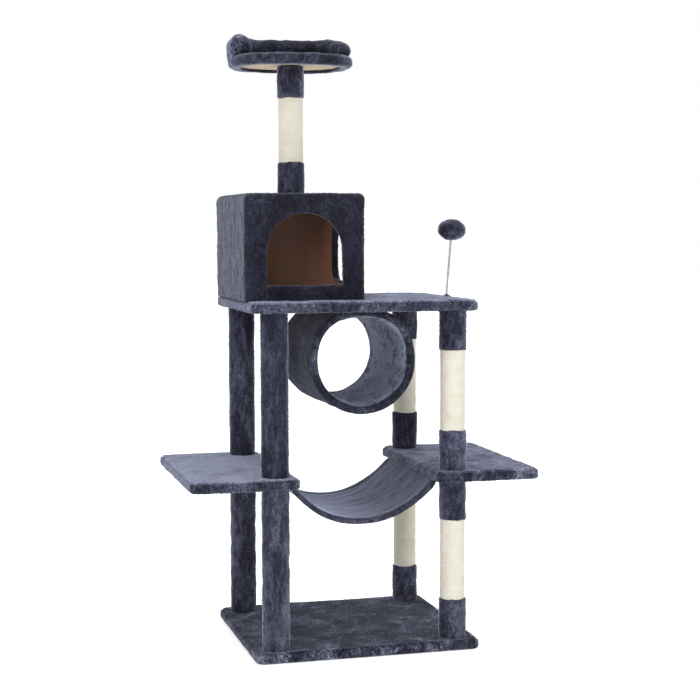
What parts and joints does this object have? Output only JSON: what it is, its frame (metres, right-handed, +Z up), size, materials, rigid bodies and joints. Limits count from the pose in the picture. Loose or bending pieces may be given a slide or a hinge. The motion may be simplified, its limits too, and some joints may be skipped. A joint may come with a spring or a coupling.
{
  "type": "cat tree",
  "caption": "Tall plush cat tree on plush and sisal posts, with an arched house, side shelves, a hanging tunnel, a hammock, a bolstered top perch and a ball toy on a spring.",
  "frame": {"origin": "on the floor, under the middle of the base plate", "axes": "+X to the right as seen from the front, +Y to the back, +Z up"},
  "size_m": [0.934, 0.54, 1.6263],
  "materials": {
    "plush": "short brushed plush, dark slate blue, mottled where the nap lies either way",
    "sisal": "cream sisal rope in close even turns",
    "chipboard": "raw tan particle board",
    "cardboard": "kraft cardboard tube",
    "house_board": "bare brown hardboard",
    "steel": "zinc plated steel",
    "spring_wire": "bright spring wire, tightly coiled",
    "plastic": "black moulded plastic"
  },
  "bodies": {
    "frame": {"base_board": "chipboard", "base_bolt_left_front": "steel", "base_bolt_left_rear": "steel", "base_bolt_right_front": "steel", "base_bolt_right_rear": "steel", "base_cover": "plush", "deck_board": "chipboard", "deck_cover": "plush", "hammock": "plush", "house_back_board": "house_board", "house_cover": "plush", "house_front_board": "house_board", "house_left_board": "house_board", "house_right_board": "house_board", "house_roof_board": "house_board", "left_shelf_board": "chipboard", "left_shelf_cover": "plush", "lower_left_front_sleeve": "plush", "lower_left_front_tube": "cardboard", "lower_left_rear_sleeve": "plush", "lower_left_rear_tube": "cardboard", "lower_right_front_cuff_high": "plush", "lower_right_front_cuff_low": "plush", "lower_right_front_sisal": "sisal", "lower_right_front_tube": "cardboard", "lower_right_rear_cuff_high": "plush", "lower_right_rear_cuff_low": "plush", "lower_right_rear_sisal": "sisal", "lower_right_rear_tube": "cardboard", "perch_board": "chipboard", "perch_bolster": "plush", "perch_bolt": "steel", "perch_cover": "plush", "right_shelf_board": "chipboard", "right_shelf_cover": "plush", "top_cuff_high": "plush", "top_cuff_low": "plush", "top_sisal": "sisal", "top_tube": "cardboard", "toy_foot": "plastic", "tunnel_cover": "plush", "tunnel_lining": "plush", "tunnel_screw_front": "steel", "tunnel_screw_rear": "steel", "tunnel_tube": "cardboard", "upper_left_front_sleeve": "plush", "upper_left_front_tube": "cardboard", "upper_left_rear_sleeve": "plush", "upper_left_rear_tube": "cardboard", "upper_right_front_cuff_high": "plush", "upper_right_front_cuff_low": "plush", "upper_right_front_sisal": "sisal", "upper_right_front_tube": "cardboard", "upper_right_rear_cuff_high": "plush", "upper_right_rear_cuff_low": "plush", "upper_right_rear_sisal": "sisal", "upper_right_rear_tube": "cardboard"},
    "toy_stem": {"toy_spring_lower": "spring_wire"},
    "toy_tip": {"toy_spring_upper": "spring_wire", "toy_ball": "plush"}
  },
  "joints": [
    {"name": "toy_sway_side", "type": "hinge", "parent": "frame", "child": "toy_stem", "pos_m": [0.2845, -0.034, 0.9357], "axis": [0, 1, 0], "range_deg": [-40, 40], "stiffness_Nm_per_rad": 1.2, "deforming": ["toy_spring_lower"]},
    {"name": "toy_sway_fore_aft", "type": "hinge", "parent": "toy_stem", "child": "toy_tip", "pos_m": [0.29065, -0.034, 1.00744], "axis": [1, 0, 0], "range_deg": [-40, 40], "stiffness_Nm_per_rad": 1, "deforming": ["toy_spring_upper"]}
  ]
}
